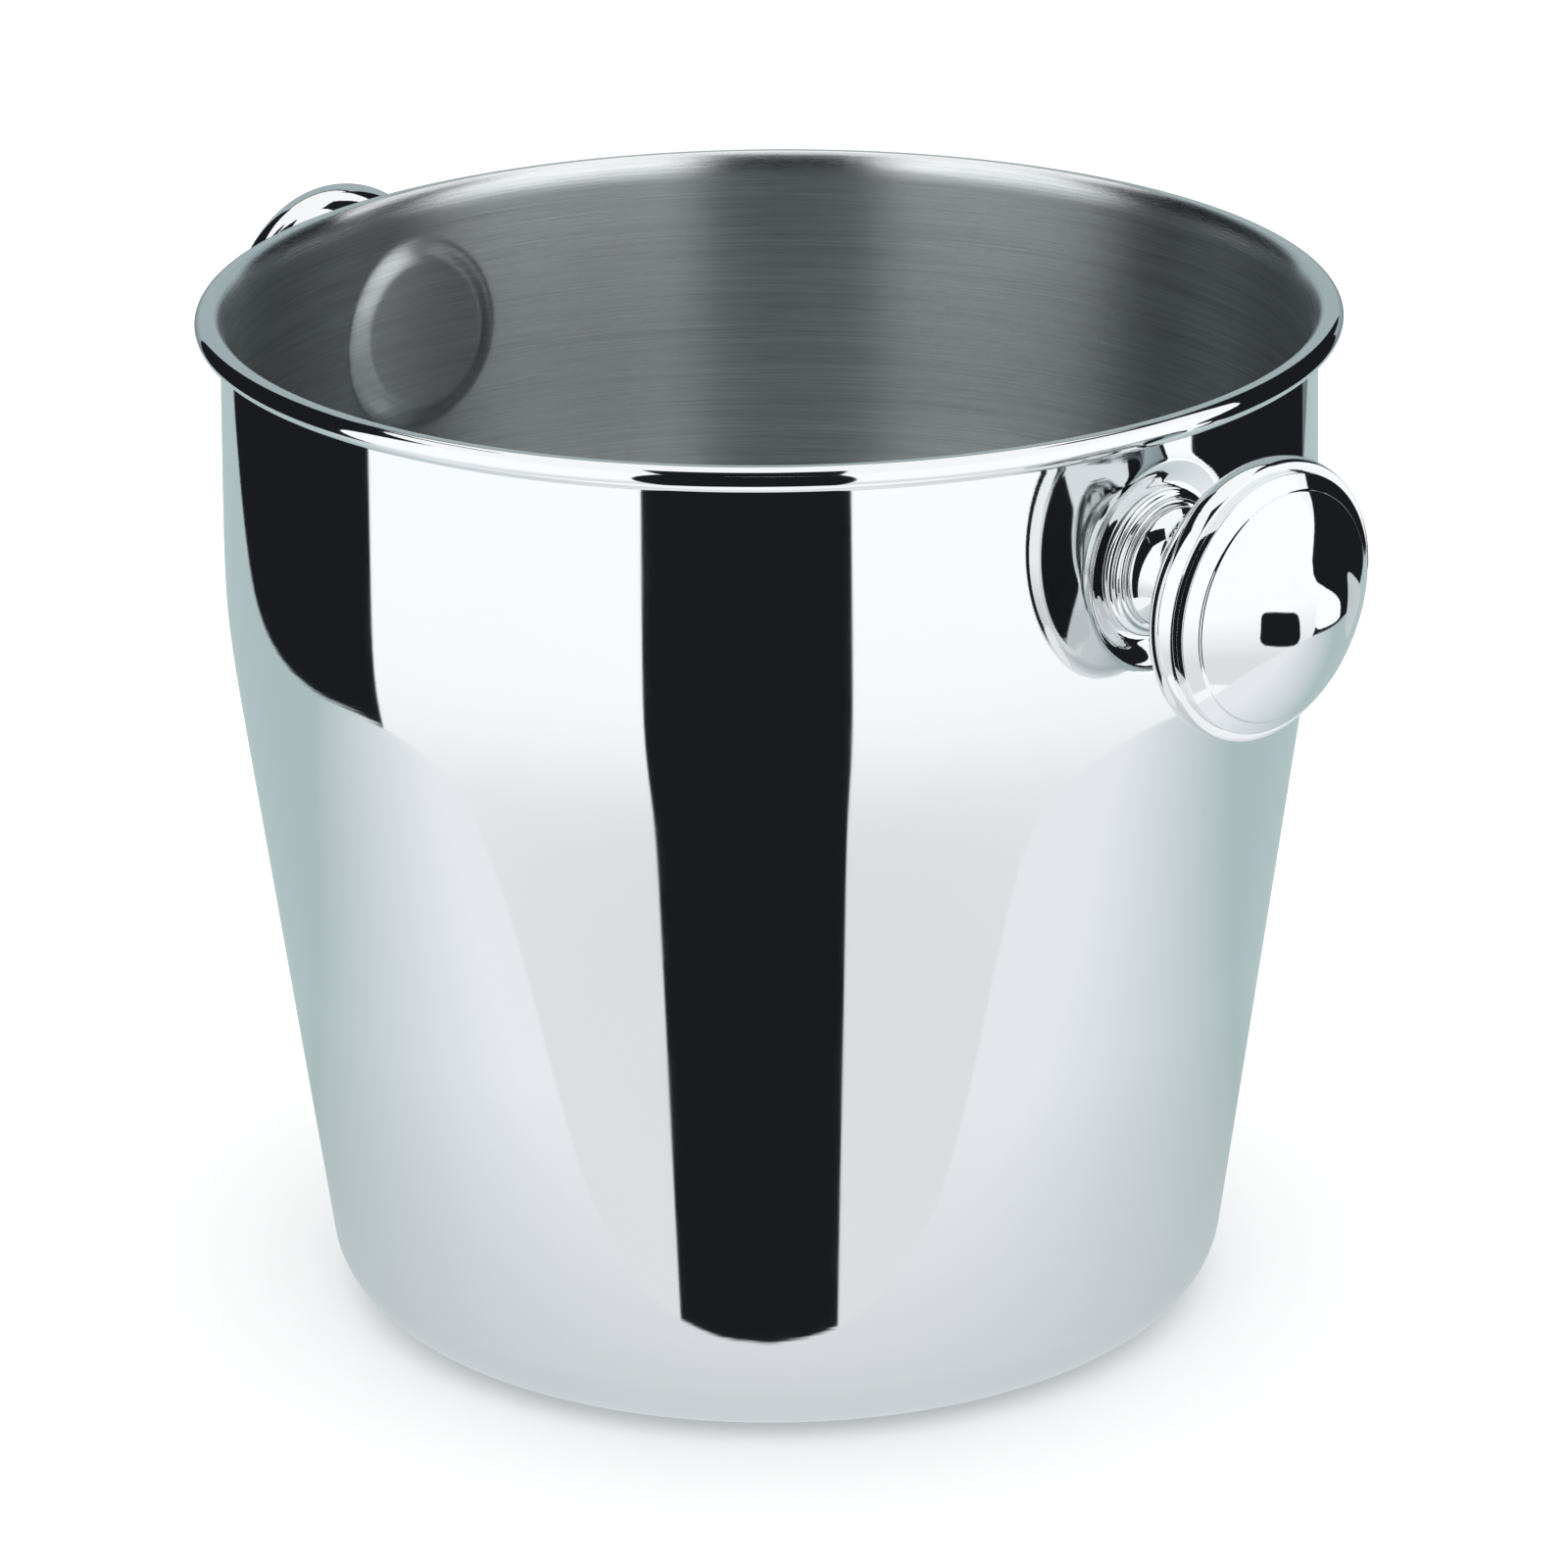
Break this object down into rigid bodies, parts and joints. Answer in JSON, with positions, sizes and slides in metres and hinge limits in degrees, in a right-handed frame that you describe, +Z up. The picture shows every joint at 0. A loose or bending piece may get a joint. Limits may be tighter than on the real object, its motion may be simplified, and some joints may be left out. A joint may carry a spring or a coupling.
{
  "type": "champagne bucket",
  "caption": "Round tapered steel bucket with a curled rim and a knob handle on each side, for chilling a bottle in ice.",
  "frame": {"origin": "centre of the underside, on the plane that the base rests on", "axes": "+Z up along the bucket's axis, +X through the middle of the right-hand knob, +Y towards the back"},
  "size_m": [0.2672, 0.2078, 0.19],
  "materials": {
    "bucket_steel": "mirror-polished outside, brushed round the inside, stainless steel",
    "knob_steel": "mirror-polished stainless steel",
    "fixing_steel": "plain unpolished steel, hidden inside the handles"
  },
  "bodies": {
    "root": {"bucket_shell": "bucket_steel", "right_weld_stud": "fixing_steel", "right_rosette": "knob_steel", "right_neck": "knob_steel", "right_knob_back": "knob_steel", "right_knob_nut": "fixing_steel", "right_knob_front": "knob_steel", "left_weld_stud": "fixing_steel", "left_rosette": "knob_steel", "left_neck": "knob_steel", "left_knob_back": "knob_steel", "left_knob_nut": "fixing_steel", "left_knob_front": "knob_steel"}
  },
  "joints": []
}
